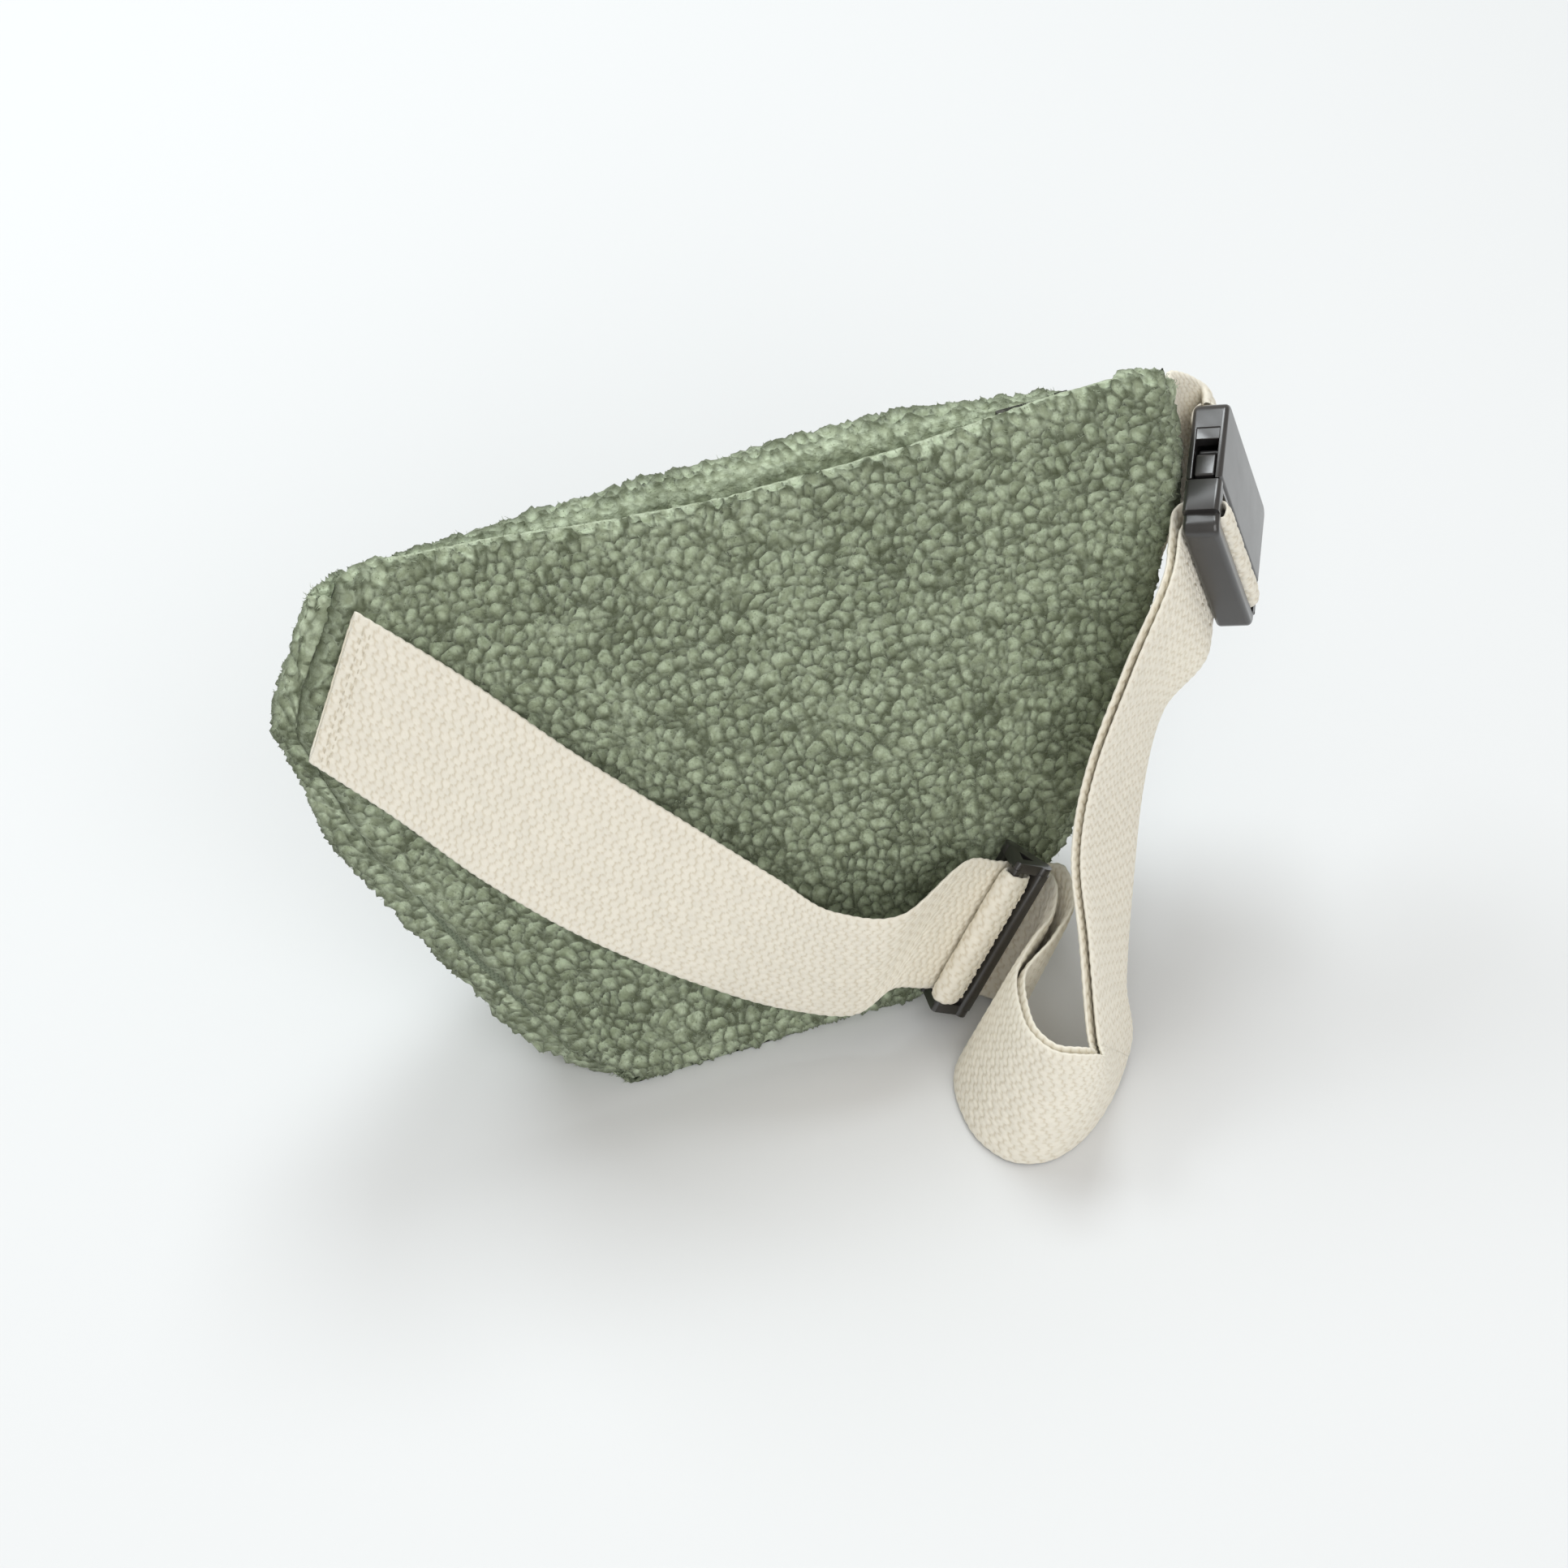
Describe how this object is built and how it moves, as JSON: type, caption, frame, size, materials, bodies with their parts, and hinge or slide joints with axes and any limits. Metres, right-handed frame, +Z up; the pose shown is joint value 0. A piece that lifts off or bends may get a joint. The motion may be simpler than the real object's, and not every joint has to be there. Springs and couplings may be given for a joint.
{
  "type": "waist bag",
  "caption": "Small zipped waist bag in curly fleece with a webbing belt, side-release buckle and sliding adjuster, standing on its belly.",
  "frame": {"origin": "on the floor under the middle of the whole object's box", "axes": "+Z up; +X along the zip towards the buckle end; the back panel and belt face -Y and the belly faces +Y"},
  "size_m": [0.2391, 0.1292, 0.1472],
  "materials": {
    "fleece": "curly pile fleece",
    "lining": "plain woven lining",
    "webbing": "basket weave cotton webbing",
    "thread": "twisted sewing thread",
    "zip_tape": "woven zip tape",
    "zip_coil": "moulded coil",
    "zip_metal": "dull nickel",
    "black_plastic": "satin moulded acetal"
  },
  "bodies": {
    "root": {"back_panel": "fleece", "front_panel": "fleece", "lining_back": "lining", "lining_front": "lining", "zip_tape_rear": "zip_tape", "zip_tape_front": "zip_tape", "zip_coil_rear": "zip_coil", "zip_coil_front": "zip_coil", "zip_stop_open_end": "zip_metal", "zip_stop_closed_end": "zip_metal", "strap_long_run": "webbing", "strap_through_adjuster": "webbing", "strap_slack_curl": "webbing", "strap_sewn_curl": "webbing", "strap_inner_bend": "webbing", "strap_outer_bend": "webbing", "strap_inner_rise": "webbing", "strap_outer_rise": "webbing", "strap_anchor_stitching": "thread", "buckle_socket": "black_plastic", "tab_webbing": "webbing", "tab_loop": "webbing"},
    "slider": {"zip_slider": "zip_metal"},
    "pull": {"zip_pull": "zip_metal"},
    "adjuster": {"adjuster_frame": "black_plastic", "strap_sewn_end": "webbing", "sewn_end_stitching": "thread"},
    "plug": {"buckle_plug": "black_plastic", "strap_plug_loop": "webbing"},
    "latch_lower": {"latch_arm_lower": "black_plastic"},
    "latch_upper": {"latch_arm_upper": "black_plastic"}
  },
  "joints": [
    {"name": "zip_slide", "type": "slide", "parent": "root", "child": "slider", "axis": [-1, 0, 0], "range_m": [0, 0.138]},
    {"name": "pull_swing", "type": "hinge", "parent": "slider", "child": "pull", "pos_m": [0.06294, 0.03786, 0.14159], "axis": [0, 0.9659, -0.2588], "range_deg": [0, 120]},
    {"name": "adjuster_slide", "type": "slide", "parent": "root", "child": "adjuster", "axis": [-0.8038, -0.1518, 0.5752], "range_m": [0, 0.008], "deforming": ["strap_long_run", "strap_through_adjuster", "strap_slack_curl", "strap_sewn_curl"]},
    {"name": "buckle_release", "type": "slide", "parent": "root", "child": "plug", "axis": [-0.4848, -0.8456, -0.2233], "range_m": [0, 0.03], "deforming": ["strap_inner_rise", "strap_outer_rise", "strap_inner_bend", "strap_outer_bend"]},
    {"name": "latch_lower_squeeze", "type": "hinge", "parent": "plug", "child": "latch_lower", "pos_m": [0.10312, 0.02181, 0.09122], "axis": [0.8033, -0.5315, 0.2688], "range_deg": [0, 6], "stiffness_Nm_per_rad": 0.35},
    {"name": "latch_upper_squeeze", "type": "hinge", "parent": "plug", "child": "latch_upper", "pos_m": [0.09371, 0.02048, 0.1167], "axis": [-0.8033, 0.5315, -0.2688], "range_deg": [0, 6], "stiffness_Nm_per_rad": 0.35}
  ],
  "couplings": [
    {"joint": "latch_upper_squeeze", "follows": "latch_lower_squeeze", "ratio": 1}
  ]
}
